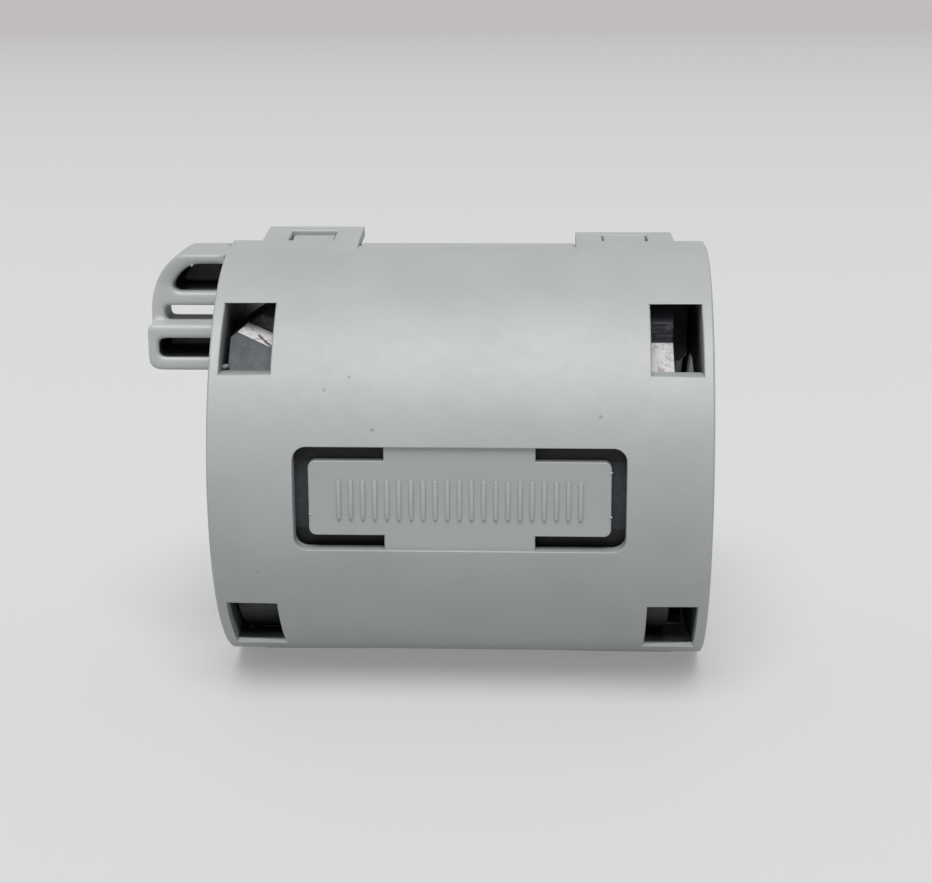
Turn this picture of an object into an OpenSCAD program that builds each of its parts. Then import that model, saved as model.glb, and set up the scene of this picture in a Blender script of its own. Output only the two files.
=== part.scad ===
// Clip-on ferrite bead: a hinged plastic case that closes round a cable and holds
// a split ferrite sleeve against it. The cable runs along X through the origin.
// The case parts at y = 0: the front half lies at -Y, the back half at +Y, the hinge
// runs along the bottom and the two snap latches along the top.

/* [Case] */
// Outer diameter of the closed case
case_d = 30; // [29:0.5:40]
// Length of the case at the crowns of its halves, without the tie holder
case_l = 34; // [30:0.5:60]
// Draft of the end faces in degrees: the case is longest at the seam
draft = 1; // [0:0.1:1.5]
// Thickness of the round wall
wall = 1.25; // [1:0.05:1.6]
// Thickness of the end walls
end_wall = 0.68; // [0.5:0.02:1.2]
// Rounding of the outer rims
rim_r = 0.3; // [0.2:0.05:0.5]
// Room between the bore and the rim of a cable entry
entry_room = 0.4; // [0.1:0.05:1.5]
// Gap between the edges of the two halves when the case is closed
seam = 0.1; // [0.06:0.02:0.2]

/* [Ferrite core] */
// Bore for the cable
bore_d = 13; // [6:0.5:13]
// Free length that the core leaves between the end walls
core_play = 2.14; // [0.8:0.02:4]
// Gap between a loose core half and the end wall that it has slid to
core_end_gap = 0.32; // [0.1:0.02:0.5]
// Least room between the round of the core and the case
core_room = 0.1; // [0.05:0.01:0.4]
// Gap between the ground faces of the core halves
core_gap = 0.04; // [0.02:0.02:0.2]
// Chamfer along the outer edges of the ground faces
core_chamfer = 0.8; // [0.5:0.05:1.5]
// Chamfer at the mouths of the bore
core_lead = 0.5; // [0.2:0.05:1]

/* [Chipped core] */
// Depth of the two chips in the front core half
chip_depth = 1.1; // [0.4:0.1:2]
// Reach of a chip to each side of its middle
chip_l = 4.5; // [3.5:0.5:8]
// Height of the corner that is broken off at the holder's end
corner_h = 3.45; // [1:0.05:5]
// Slope of that break in degrees
corner_slope = 33; // [20:1:45]

/* [Windows] */
// Width of a window along the case
window_w = 3.5; // [2:0.1:5]
// Height of a window
window_h = 4.18; // [2:0.1:5]
// Depth of a window's middle below the crown of the case
window_drop = 4.8; // [4.2:0.1:6]

/* [Spring plate] */
// Length of the recess that the plate lies in
recess_l = 22.4; // [16:0.2:24]
// Height of the recess
recess_h = 7.2; // [5:0.1:8]
// Rounding of the recess corners
recess_r = 0.9; // [0.4:0.1:1.2]
// Depth of the plate's face below the crown of the case
plate_depth = 0.7; // [0.4:0.05:0.8]
// Thickness of the plate
plate_t = 0.8; // [0.5:0.05:0.85]
// Width of the slots round the two wings of the plate
slot_w = 1; // [0.6:0.05:1.4]
// Length of the bridge that joins the plate to the case above and below
bridge_l = 10.2; // [6:0.2:14]
// Rounding of the wing corners
wing_r = 0.5; // [0.2:0.1:1]

/* [Latches] */
// Distance of a latch's middle from the case end
latch_in = 5.6; // [4.4:0.1:8]
// Width of a latch strap
latch_w = 7.1; // [6:0.1:8]
// Width of the leg nearer the middle of the case
inner_leg = 1.9; // [1.5:0.1:2.4]
// Width of the leg nearer the end of the case
outer_leg = 1.9; // [1.5:0.1:2.6]
// Height of the straps' tops and of the lands above the round wall
latch_rise = 0.35; // [0.25:0.05:0.5]
// How far the lands slope up beside the seam
land_ramp = 2.3; // [2:0.1:2.6]
// Thickness of a strap
strap_t = 0.8; // [0.6:0.05:0.9]
// Reach of a strap behind the seam
strap_reach = 4.5; // [4:0.1:5.5]
// Length of the cross bar at the strap's end
bar_l = 1.3; // [1:0.1:1.4]
// How far the strap at the holder's end has sprung up at its tip
strap_lift = 0.4; // [0:0.05:0.5]
// Play between a hook and the cross bar behind it
latch_play = 0.16; // [0.1:0.02:0.3]
// Gap beside a hook and beside a strap
latch_side = 0.12; // [0.1:0.02:0.2]
// Room between a strap and its bed in the back half
strap_room = 0.1; // [0.06:0.01:0.2]

/* [Hinge] */
// Width of a hinge web along the case
web_w = 7.6; // [4:0.2:8]
// Distance of a web's middle from the case end
web_in = 5.6; // [4.4:0.1:8]
// Thickness of a web
web_t = 0.25; // [0.2:0.01:0.3]
// Free span of a web between the halves
web_span = 1.5; // [1.2:0.1:2]
// How far the feet reach below the round wall
foot_drop = 0.2; // [0.15:0.01:0.3]
// Half the width of the flat that the case rests on
foot_y = 2.3; // [2:0.1:3]
// Rise of each foot towards the middle of the case, which then stands on its corners
foot_rise = 0.05; // [0.02:0.01:0.1]

/* [Tie holder] */
// Reach of the holder beyond the case end
holder_l = 5.7; // [4.5:0.1:7]
// Thickness of the holder in front of the seam, at its upper part
holder_t = 2.9; // [2.4:0.1:4]
// How far the lower part stands in front of the upper one
holder_step = 1.8; // [1:0.1:3]
// Reach of the upper part behind the seam
holder_back = 2; // [1.2:0.1:3]
// Depth of the slot's floor below the crown of the case
tie_drop = 5.04; // [4.6:0.02:5.6]
// Height of the tie slot
tie_h = 1.06; // [0.9:0.02:1.2]
// Width of the side wall beside the tie slot
tie_side = 1; // [0.8:0.1:1.4]
// Height of the saddle above the bore
saddle_room = 0.14; // [0:0.02:0.5]
// Thickness of the holder's rungs
rung_t = 1; // [0.8:0.02:1.2]
// Thickness of the outer wall beside the upper pocket
holder_wall = 1.2; // [0.8:0.05:1.4]
// Thickness of the outer wall beside the lower pocket
saddle_wall = 0.85; // [0.6:0.05:1.4]
// Thickness of the webs that close the two pockets at the back
pocket_web = 0.6; // [0.4:0.05:1]

/* [Hidden] */

$fn = 96;
case_grey = [0.74, 0.77, 0.76];
ferrite_grey = [0.13, 0.14, 0.16];
case_r = case_d / 2;
inner_r = case_r - wall;
end_x = case_l / 2;
inner_x = end_x - end_wall;
seam_x = end_x + case_r * tan(draft);
bore_r = bore_d / 2;
entry_r = bore_r + entry_room;
// Larger than the case every way, for cuts that run right through.
far = case_d + case_l;
// How far joined shapes reach into each other and cuts reach past a face.
lap = 0.2;

// Core: it clears both the round wall and the back of the spring plate.
core_r = min(inner_r, case_r - plate_depth - plate_t) - core_room;
core_x0 = -inner_x + core_end_gap;
core_x1 = inner_x + core_end_gap - core_play;

// Core keepers: small wedges inside the seam that hold the core by its chamfers.
keeper_l = 4;
keeper_x = 4.5;
keeper_room = 0.2;

// Chips: place round the axis, turn off the axis, and the angles to the deepest line
// and to the upper edge.
chip_in = 1.7;
left_chip_x = core_x0 + chip_in;
left_chip = [47, 28, 8.3, 9.3];
right_chip = [34.5, 0, 15.7, 19.5];

// The rims' rounding starts a little outside the round wall and so crosses it cleanly.
rim_lift = 0.05;

window_z = case_r - window_drop;

// The hinge line lies in the middle of the webs.
web_x = end_x - web_in;
web_lift = 0.15;
foot_z = -case_r - foot_drop;
web_low = foot_z + web_lift;
hinge_z = web_low + web_t / 2;
web_room = 0.1;
notch_z = web_low + web_t + web_room;
hinge_relief = 0.3;
foot_chamfer = 0.45;
foot_slope = 1.1;

// Latch: flat straps reach back from the lands, over beds in the back half.
latch_x = end_x - latch_in;
strap_x0 = latch_x - latch_w / 2;
strap_x1 = latch_x + latch_w / 2;
strap_top = case_r + latch_rise;
strap_under = strap_top - strap_t;
strap_root = 0.6;
leg_gap_x0 = strap_x0 + inner_leg;
leg_gap_x1 = strap_x1 - outer_leg;
bar_y = strap_reach - bar_l;
bed_z = strap_under - strap_room;
hook_front = 0.1;
hook_back = bar_y - latch_play;
hook_sunk = 0.05;
hook_top = strap_top - hook_sunk;
hook_ramp = 0.4;
hook_flat = 0.5;
land_end = 0.75 * rim_r;
land_sunk = 0.06;

// Tie holder outlines, in X and Z.
holder_x = -end_x - holder_l;
holder_root = -end_x + lap;
front_y = -holder_t;
lower_y = front_y - holder_step;
tie_z = case_r - tie_drop;
slot_top = tie_z + tie_h;
saddle_z = bore_r + saddle_room;
crown_lift = 0.64;
crown_z = tie_z + crown_lift;
crown_rise = 0.1;
crown_rx = 3.6;
crown_rz = case_r + crown_rise - crown_z;
crown_x = holder_x + crown_rx;
crown_wall = 1.08;
pocket_bottom = slot_top + rung_t;
pocket_rx = crown_rx - holder_wall;
pocket_rz = crown_rz - crown_wall;
rear_gap = 0.15;
rear_wall = 0.6;
low_corner = 0.8;
step_corner = 0.35;
crown_corner = 0.5;
pocket_corner = 0.25;

// ---------------------------------------------------------------- shared shapes

// Extrudes an outline of [y, z] points along X.
module along_x(x0, x1) {
    translate([x0, 0, 0])
        rotate([90, 0, 90])
            linear_extrude(x1 - x0)
                children();
}

// Extrudes an outline of [x, z] points along Y.
module along_y(y0, y1) {
    translate([0, y1, 0])
        rotate([90, 0, 0])
            linear_extrude(y1 - y0)
                children();
}

// A rod round the cable axis.
module rod(r, x0, x1) {
    translate([x0, 0, 0])
        rotate([0, 90, 0])
            cylinder(r = r, h = x1 - x0);
}

// A box from its lowest to its highest corner.
module block(low, high) {
    translate(low)
        cube(high - low);
}

// A flat rectangle with round corners, centred.
module round_rect(w, h, r) {
    square([w - 2 * r, h], center = true);
    square([w, h - 2 * r], center = true);
    for (sx = [-1, 1], sy = [-1, 1])
        translate([sx * (w / 2 - r), sy * (h / 2 - r)])
            circle(r = r);
}

// Points on an ellipse from angle a0 to a1.
function arc_points(cx, cy, rx, ry, a0, a1, n = 16) =
    [for (i = [0 : n]) let (a = a0 + (a1 - a0) * i / n) [cx + rx * cos(a), cy + ry * sin(a)]];

// Turns a shape that is made for the front half into one for the back half.
module to_back() {
    mirror([0, 1, 0])
        children();
}

// ---------------------------------------------------------------- case halves

// The closed case as one turned body with open ends, a little too long.
module case_body() {
    rotate([0, 90, 0])
        rotate_extrude()
            difference() {
                translate([entry_r, -seam_x - lap])
                    square([case_r - entry_r, 2 * seam_x + 2 * lap]);
                translate([0, -inner_x])
                    square([inner_r, 2 * inner_x]);
            }
}

// A disc with a round rim. Its flat face lies at x = 0.
module rim_disc(r, depth) {
    rotate([0, 90, 0])
        rotate_extrude() {
            translate([0, -depth])
                square([r - rim_r, depth]);
            translate([0, -depth])
                square([r, depth - rim_r]);
            translate([r - rim_r, -rim_r])
                circle(r = rim_r);
        }
}

// The space of the front half: up to the seam, with drafted ends and round rims, and
// with a strip left out along the bottom so that the half can swing.
module half_space() {
    rim_depth = 3 * rim_r;
    body_x = end_x - rim_depth + rim_r;
    intersection() {
        union() {
            block([-body_x, -far, -far], [body_x, -seam / 2, far]);
            for (sx = [-1, 1])
                scale([sx, 1, 1])
                    translate([seam_x, 0, 0])
                        rotate([0, 0, -draft])
                            rim_disc(case_r + rim_lift, seam_x - body_x + rim_r);
        }
        along_x(-far, far)
            polygon([[-far, -far], [-hinge_relief, -far], [-hinge_relief, notch_z],
                     [-seam / 2, notch_z], [-seam / 2, far], [-far, far]]);
    }
}

// Outline of the plate: a bridge that runs right across and two wings beside it.
module plate_outline() {
    round_rect(recess_l - 2 * slot_w, recess_h - 2 * slot_w, wing_r);
    square([bridge_l, recess_h + 2 * lap], center = true);
}

// What is cut away round the spring plate of the front half.
module plate_cuts() {
    face_y = -case_r + plate_depth;
    behind_y = -inner_r + wall;
    along_y(-case_r - lap, face_y)
        round_rect(recess_l, recess_h, recess_r);
    along_y(face_y + plate_t, behind_y)
        round_rect(recess_l, recess_h, recess_r);
    along_y(-case_r - lap, behind_y)
        difference() {
            round_rect(recess_l, recess_h, recess_r);
            plate_outline();
        }
}

// Backs the crown of the wall so that the plate keeps its thickness.
module plate_back() {
    face_y = -case_r + plate_depth;
    along_y(face_y, face_y + plate_t)
        round_rect(recess_l + 2 * lap, recess_h + 2 * lap, recess_r);
}

// The four windows of the front half, open along Y.
module window_cuts() {
    z0 = window_z - window_h / 2;
    z1 = window_z + window_h / 2;
    depth = sqrt(inner_r * inner_r - z1 * z1) - lap;
    for (sx = [-1, 1], sz = [-1, 1])
        scale([sx, 1, sz])
            block([inner_x - window_w, -case_r - lap, z0], [inner_x, -depth, z1]);
}

// Wedges on the inner wall beside the seam, which keep the core half in its shell.
module core_keepers() {
    reach = core_chamfer + core_gap / 2 - keeper_room;
    tip = sqrt(core_r * core_r - core_chamfer * core_chamfer) - reach + keeper_room;
    for (sx = [-1, 1], sz = [-1, 1])
        scale([1, 1, sz])
            along_x(sx * keeper_x - keeper_l / 2, sx * keeper_x + keeper_l / 2)
                polygon([[-seam / 2, tip], [-seam / 2, inner_r + lap],
                         [-seam / 2 - reach, inner_r + lap], [-seam / 2 - reach, inner_r]]);
}

// The feet beside the hinge webs, which give the closed case its flat to rest on.
module hinge_feet() {
    inner_y = web_span / 2;
    blend_y = foot_y + foot_slope;
    for (sx = [-1, 1])
        along_x(sx * web_x - web_w / 2, sx * web_x + web_w / 2)
            polygon([[-inner_y, web_low + web_t + 2 * web_room], [-inner_y, web_low],
                     [-inner_y - foot_chamfer, foot_z], [-foot_y, foot_z],
                     [-blend_y, foot_drop - sqrt(case_r * case_r - blend_y * blend_y)],
                     [-blend_y + foot_drop, -inner_r]]);
}

// What is cut from under the feet so that they rise towards the middle of the case.
module foot_relief() {
    x0 = web_x - web_w / 2 - lap;
    x1 = web_x + web_w / 2;
    for (sx = [-1, 1])
        scale([sx, 1, 1])
            along_y(-far, far)
                polygon([[x0, foot_z - lap], [x1, foot_z - lap], [x1, foot_z],
                         [x0, foot_z + foot_rise]]);
}

// Room for the hinge webs in the lower edge of a half.
module hinge_notches() {
    for (sx = [-1, 1])
        block([sx * web_x - web_w / 2, -web_span / 2, foot_z - lap],
              [sx * web_x + web_w / 2, lap, notch_z]);
}

// The raised lands along the seam, from x0 to the case ends.
module latch_lands(x0) {
    ramp_z = sqrt(case_r * case_r - land_ramp * land_ramp) - land_sunk;
    for (sx = [-1, 1])
        scale([sx, 1, 1])
            along_x(x0, seam_x - land_end)
                polygon([[-land_ramp, inner_r + lap], [-land_ramp, ramp_z],
                         [-seam / 2, strap_top], [-seam / 2, inner_r + lap]]);
}

// What the two halves share, made for the front side.
module half_shell() {
    difference() {
        union() {
            intersection() {
                case_body();
                half_space();
            }
            plate_back();
            core_keepers();
            hinge_feet();
        }
        plate_cuts();
        window_cuts();
        hinge_notches();
        foot_relief();
    }
}

// ---------------------------------------------------------------- latches

// One U-shaped strap: two legs and a cross bar. Its tip stands higher by lift.
module latch_strap(lift) {
    difference() {
        along_x(strap_x0, strap_x1)
            polygon([[-strap_root, strap_under], [-strap_root, case_r], [-seam / 2, strap_top],
                     [strap_reach, strap_top + lift], [strap_reach, strap_under + lift],
                     [-seam / 2, strap_under]]);
        // The window that takes the hook.
        block([leg_gap_x0, -seam / 2, inner_r], [leg_gap_x1, bar_y, far]);
    }
}

// The two straps of the front half.
module latch_straps() {
    latch_strap(0);
    mirror([1, 0, 0])
        latch_strap(strap_lift);
}

// The flat beds in the back half that the straps lie over.
module strap_beds() {
    for (sx = [-1, 1])
        scale([sx, 1, 1])
            block([strap_x0 - latch_side, 0, bed_z], [strap_x1 + latch_side, far, far]);
}

// The two hooks on the back half, each inside the window of its strap.
module latch_hooks() {
    root_z = inner_r + 2 * lap;
    for (sx = [-1, 1])
        scale([sx, 1, 1])
            along_x(leg_gap_x0 + latch_side, leg_gap_x1 - latch_side)
                polygon([[hook_front, root_z], [hook_front, hook_top - hook_ramp],
                         [hook_back - hook_flat, hook_top], [hook_back, hook_top],
                         [hook_back, root_z]]);
}

// ---------------------------------------------------------------- tie holder

// Outline of the upper part: level on top and round at its free corner.
module crown_outline(low_z, root_x) {
    polygon(concat([[root_x, low_z], [root_x, crown_z + crown_rz]],
                   arc_points(crown_x, crown_z, crown_rx, crown_rz, 90, 180),
                   [[holder_x, low_z]]));
}

// Angle on the pocket's ellipse at a height z.
function pocket_angle(z) = 180 - asin((z - crown_z) / pocket_rz);

// Outline of the upper pocket, which follows the round corner and is round below it.
module crown_pocket(root_x) {
    turn_z = pocket_bottom + crown_corner;
    turn_x = crown_x + pocket_rx * cos(pocket_angle(turn_z)) + crown_corner;
    low_angle = pocket_angle(turn_z + crown_corner / 4);
    polygon(concat([[root_x, pocket_bottom], [root_x, crown_z + pocket_rz]],
                   arc_points(crown_x, crown_z, pocket_rx, pocket_rz, 90, low_angle),
                   arc_points(turn_x, turn_z, crown_corner, crown_corner, 180, 270, 6)));
}

// Outline of the lower part, the saddle that the tie pulls against the cable.
module saddle_outline() {
    corner_x = holder_x + low_corner;
    step_x = holder_x + step_corner;
    polygon(concat([[holder_root, saddle_z], [holder_root, tie_z]],
                   arc_points(step_x, tie_z - step_corner, step_corner, step_corner, 90, 180, 6),
                   arc_points(corner_x, saddle_z + low_corner, low_corner, low_corner, 180, 270, 8)));
}

// The holder beyond the case end, with its tie slot and its two blind pockets.
module tie_holder() {
    rear_x = -seam_x - rear_gap;
    pocket_low = saddle_z + rung_t;
    pocket_high = tie_z - rung_t;
    pocket_w = holder_l - saddle_wall;
    difference() {
        union() {
            intersection() {
                union() {
                    along_y(front_y, -seam / 2)
                        crown_outline(tie_z - lap, holder_root);
                    difference() {
                        along_y(-seam / 2, holder_back)
                            crown_outline(tie_z - lap, rear_x);
                        block([holder_x - lap, -seam, 0], [0, holder_back + lap, slot_top]);
                    }
                }
                rod(case_r, holder_x - lap, holder_root);
            }
            along_y(lower_y, -seam / 2)
                saddle_outline();
        }
        // The slot for the cable tie.
        block([holder_x + tie_side, front_y - lap, tie_z], [-end_x, lap, slot_top]);
        // The upper pocket, narrower behind the seam.
        along_y(front_y - lap, -seam / 2)
            crown_pocket(-end_x);
        along_y(-seam, holder_back - pocket_web)
            crown_pocket(rear_x - rear_wall);
        // The lower pocket.
        along_y(lower_y - lap, -seam / 2 - pocket_web)
            translate([-end_x - pocket_w / 2, (pocket_low + pocket_high) / 2]) {
                round_rect(pocket_w, pocket_high - pocket_low, pocket_corner);
                translate([pocket_w / 4, 0])
                    square([pocket_w / 2, pocket_high - pocket_low], center = true);
            }
    }
}

// ---------------------------------------------------------------- core halves

// One half of the ferrite sleeve, made for the front side.
module core_half() {
    edge_z = sqrt(core_r * core_r - core_chamfer * core_chamfer);
    difference() {
        rod(core_r, core_x0, core_x1);
        rod(bore_r, core_x0 - lap, core_x1 + lap);
        for (end = [[core_x0, 1], [core_x1, -1]])
            translate([end[0], 0, 0])
                rotate([0, 90 * end[1], 0])
                    translate([0, 0, -lap])
                        cylinder(r1 = bore_r + core_lead + lap, r2 = bore_r,
                                 h = core_lead + lap);
        block([core_x0 - lap, -core_gap / 2, -far], [core_x1 + lap, far, far]);
        for (sz = [-1, 1])
            scale([1, 1, sz])
                along_x(core_x0 - lap, core_x1 + lap)
                    polygon([[-core_gap / 2 - core_chamfer, edge_z + lap],
                             [-core_gap / 2 - core_chamfer, edge_z],
                             [-core_gap / 2, edge_z - core_chamfer],
                             [lap, edge_z - core_chamfer], [lap, edge_z + lap]]);
    }
}

// A chip in the core's round: a sloping floor that ends at a steeper wall.
module core_chip(x, place) {
    skin = [-core_r, 0];
    deep_r = core_r - chip_depth;
    deep = [-deep_r * cos(place[2]), deep_r * sin(place[2])];
    rim = [-core_r * cos(place[3]), core_r * sin(place[3])];
    translate([x, 0, 0])
        rotate([-place[0], 0, 0])
            rotate([0, place[1], 0])
                along_x(-chip_l, chip_l)
                    polygon([2 * skin - deep, deep, 2 * rim - deep]);
}

// The broken upper corner of the core at the holder's end.
module corner_break() {
    translate([core_x0, 0, core_r - corner_h])
        rotate([0, -corner_slope, 0])
            block([-far, -far, 0], [far, far, far]);
}

// ---------------------------------------------------------------- nodes

module front_shell() {
    color(case_grey) {
        half_shell();
        latch_lands(strap_x0);
        latch_straps();
        tie_holder();
    }
}

module back_shell() {
    color(case_grey) {
        difference() {
            to_back()
                half_shell();
            strap_beds();
        }
        to_back()
            latch_lands(strap_x1 + latch_side);
        latch_hooks();
    }
}

module front_core_half() {
    color(ferrite_grey)
        difference() {
            core_half();
            core_chip(left_chip_x, left_chip);
            core_chip(core_x1, right_chip);
            corner_break();
        }
}

module back_core_half() {
    color(ferrite_grey)
        rotate([0, 0, 180])
            core_half();
}

// A thin web between the feet of the two halves.
module hinge_web(sx) {
    color(case_grey)
        along_x(sx * web_x - web_w / 2, sx * web_x + web_w / 2)
            translate([0, hinge_z])
                square([web_span, web_t], center = true);
}

module hinge_web_left() {
    hinge_web(-1);
}

module hinge_web_right() {
    hinge_web(1);
}

front_shell();
back_shell();
front_core_half();
back_core_half();
hinge_web_left();
hinge_web_right();
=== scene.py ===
"""Finishes the clip-on ferrite bead: the moulded case halves with rounded edges, the softened tie
holder, the raised ribs and nibs of flash on the spring plate, the chipped ferrite sleeve and the
hinge films, on a pale stage."""

from functools import cached_property, reduce
from math import cos, hypot, pi, radians, sin, tan
from operator import mul

import bmesh
import bpy
from mathutils import Matrix, Vector
from mathutils.bvhtree import BVHTree


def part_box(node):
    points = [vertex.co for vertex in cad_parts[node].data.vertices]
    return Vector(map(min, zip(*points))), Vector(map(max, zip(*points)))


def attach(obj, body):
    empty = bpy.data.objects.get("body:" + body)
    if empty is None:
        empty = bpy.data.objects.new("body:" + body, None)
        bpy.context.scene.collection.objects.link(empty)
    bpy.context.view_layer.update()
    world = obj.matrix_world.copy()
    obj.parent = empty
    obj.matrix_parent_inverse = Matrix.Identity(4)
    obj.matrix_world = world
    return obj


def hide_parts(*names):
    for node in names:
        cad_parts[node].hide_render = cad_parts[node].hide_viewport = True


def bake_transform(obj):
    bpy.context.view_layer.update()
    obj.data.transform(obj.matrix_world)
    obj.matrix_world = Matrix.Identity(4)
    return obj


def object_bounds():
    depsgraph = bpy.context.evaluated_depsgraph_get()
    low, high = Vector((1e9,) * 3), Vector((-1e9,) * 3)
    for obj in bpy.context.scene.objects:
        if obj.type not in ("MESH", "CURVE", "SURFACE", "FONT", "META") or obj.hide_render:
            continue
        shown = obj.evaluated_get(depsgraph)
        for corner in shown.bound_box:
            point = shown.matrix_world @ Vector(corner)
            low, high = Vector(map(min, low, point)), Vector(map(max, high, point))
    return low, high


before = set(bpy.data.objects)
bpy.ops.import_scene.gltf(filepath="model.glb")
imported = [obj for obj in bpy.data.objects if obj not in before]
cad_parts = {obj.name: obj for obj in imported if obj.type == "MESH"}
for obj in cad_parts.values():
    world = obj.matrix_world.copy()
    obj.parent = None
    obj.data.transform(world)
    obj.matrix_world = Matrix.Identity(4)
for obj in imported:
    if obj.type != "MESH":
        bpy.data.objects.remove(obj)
CAD_LOW, CAD_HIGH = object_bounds()

bl_info = {
    "name": "Clip-on ferrite bead",
    "version": (1, 0, 0),
    "blender": (4, 5, 0),
    "location": "View3D > Sidebar > Ferrite Bead",
    "description": "Finishes the hinged case, the ferrite sleeve and the hinge films",
    "category": "Add Mesh",
}

MM = 0.001

# Points of a CAD node's mesh that lie this close are merged, and faces that turn less become one.
MERGE = 0.001 * MM
FLAT = radians(0.3)
# Edges that turn more than this are rounded.
SHARP = radians(50)
# How much of the room beside an edge its bevel may take, and the least that is cut.
SHARE = 0.45
NARROWEST = 0.015 * MM
# A corner this wide is taken as straight, and edges that turn less run on into each other.
FLAT_TURN = radians(170)
CHAIN_TURN = radians(40)
BEVEL_STEPS = 3
# A rounded point that lies more than this outside the sharp piece is put back on it.
PROUD = 0.004 * MM
# How closely the normals of faces that shade as one agree.
SMOOTH_FIT = cos(radians(38))
# How closely a face of a round wall follows its cylinder, and how much of it the face may span.
ROUND_FIT = cos(radians(5))
ROUND_SPAN = cos(radians(8))
ROUND_SLACK = 0.04 * MM

# The tie holder is cut off a little outside the end wall and gets a tail that ends inside it.
HOLDER_CUT = 0.03 * MM
HOLDER_TAIL = 0.35 * MM
ON_CUT = 0.002 * MM
# It is softened on an enlarged copy, because a voxel has a smallest size, and less near its root.
ENLARGED = 1000.0
SMOOTHING = 0.5
ROOT_FADE = 0.5 * MM

# The block that blunts the lower lip of a lower window: its middle and its size. It is mirrored to
# both ends and both halves.
LIP_MIDDLE = Vector((14.57, 8.7, -12.42)) * MM
LIP_SIZE = Vector((3.5, 1.2, 0.7)) * MM

# How deep the ribs start behind the plate's face, and how far from its middle a rib's ends begin.
RIB_ROOT = 0.03 * MM
RIB_POINTS = 20
RIB_MIDST = 0.01 * MM
# A nib of flash, in radii of its foot: its length and how far its tip leans over. Its foot is
# wider than its tip by the taper.
NIB_POINTS = 10
NIB_LENGTH = 2.0
NIB_LEAN = Vector((0.5, -0.2, 0.0))
NIB_TAPER = 3.0
# Places of the nibs in millimetres, the way that each points, in degrees from upwards, and its
# size. The last and larger one is a crumb in a window.
NIBS = (
    ((-10.1, -14.22, -1.2), -90, 1.0),
    ((10.15, -14.22, 1.9), 70, 1.0),
    ((10.15, -14.22, -1.2), 60, 1.0),
    ((-19.6, -2.75, 13.95), 190, 1.0),
    ((-16.15, -10.75, 8.3), 40, 2.0),
)

# Half widths of the hinge film's bands, each thinner than the one before, and the cuts across it.
FOLD_BANDS = (0.5 * MM, 0.35 * MM, 0.2 * MM)
FILM_CUTS = 11

# Material slots of the core. A face of a break lies off the bore and the seam and is no end face. A
# break that faces up below a certain height gets the lit copy of broken ferrite and the others the
# shaded copy, as painted light and shade.
SKIN_SLOT, LIT_BREAK_SLOT, SHADED_BREAK_SLOT, EDGE_SLOT = range(4)
BREAK_RADIUS = 8.5 * MM
BREAK_OFF_SEAM = -0.9 * MM
END_FACING = 0.9
SIDE_FACING = 0.9
LIT_FACING = 0.8
LIT_TOP = 9.9 * MM

# Brown specks that lie in the case's front wall, in millimetres, and where they fade.
SPECKS = (
    (-7.45, -12.69, 8.0),
    (-9.1, -13.15, 7.21),
    (-5.82, -14.23, 4.73),
    (9.43, -13.9, 5.64),
    (-8.74, -9.37, -11.71),
)
SPECK_EDGE = (0.06, 0.17)

# Painted regions. Along each measure a region has an edge where it begins and one where it ends,
# and an edge is the pair of values between which it fades. None is no edge. The measures are x, y
# and z in millimetres, their squares xx, yy and zz, which fit both sides at once, and rr, the
# square of the distance from the cable's axis.
# Painted light: the tie holder is coloured lighter than the case.
HOLDER_LIT = {"x": (None, (-17.9, -17.3)), "z": (None, (12.2, 13.2))}
# Painted shade in the tie holder's two pockets and on the floor of its slot.
UPPER_POCKET = {
    "x": (None, (-17.05, -17.0)),
    "y": ((-2.3, -1.7), (1.5, 1.6)),
    "z": ((11.95, 12.05), None),
}
LOWER_POCKET = {
    "x": ((-21.95, -21.9), (-17.0, -16.95)),
    "y": ((-4.65, -4.3), (-0.55, -0.45)),
    "z": ((7.55, 7.6), (8.98, 9.03)),
}
TIE_SLOT = {
    "x": ((-22.4, -22.3), (-17.1, -17.0)),
    "y": ((-2.7, -2.2), (-0.4, -0.1)),
    "z": ((9.5, 9.7), (10.1, 10.3)),
}
# Painted shade on the sunk spring plate.
SUNK_PLATE_SHADE = {
    "x": ((-11.3, -11.2), (11.2, 11.3)),
    "y": ((-14.45, -14.4), (-12.9, -12.85)),
    "z": ((-3.7, -3.6), (3.6, 3.7)),
}
# Painted light on the lower lips of the lower windows.
WINDOW_LIP_LIGHT = {
    "xx": ((161.0, 163.0), (267.0, 269.0)),
    "yy": ((61.0, 62.0), (68.0, 69.0)),
    "z": ((-12.7, -12.68), (-12.24, -12.22)),
}
# Painted shade on the case's inside, reaching further out in the lower windows.
CASE_LENGTH = {"x": ((-16.6, -16.5), (16.5, 16.6))}
LOWER_INSIDE = {"z": (None, (-7.5, -6.5)), "rr": (None, (192.0, 208.0))}
# Painted shade on the ferrite in the lower windows and behind the level stretches of the plate's
# slots.
CORE_LOWER = {"z": (None, (-7.5, -6.5))}
CORE_BY_PLATE = {
    "x": ((-11.5, -11.3), (11.3, 11.5)),
    "zz": ((5.2, 5.8), (15.0, 15.6)),
}
CORE_OUTSIDE = {"rr": ((170.0, 176.0), None)}
UPPER_LEFT = {"x": (None, (-5.0, 5.0)), "z": ((0.0, 5.0), None)}
# The break on the left gets a brighter painted highlight than the one on the right.
RIGHT_HALF = {"x": ((-5.0, 5.0), None)}
CRACK_REACH = {"x": ((-14.25, -14.1), (-12.8, -12.65))}
# The upper pocket's outer corner is part of an ellipse: its middle in X and Z, its reach along
# them and its rim, where 1 is on the ellipse.
POCKET_MIDDLE = (-19.1, 10.6)
POCKET_REACH = (3.0, 3.95)
POCKET_RIM = (0.95, 1.05)
# The case's inside gets painted shade up to a squared distance from the cable's axis, and this much
# further out in its upper left.
INSIDE_SHADE_EDGE = (110.0, 185.0)
INSIDE_SHADE_FURTHER = 45.0
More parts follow.
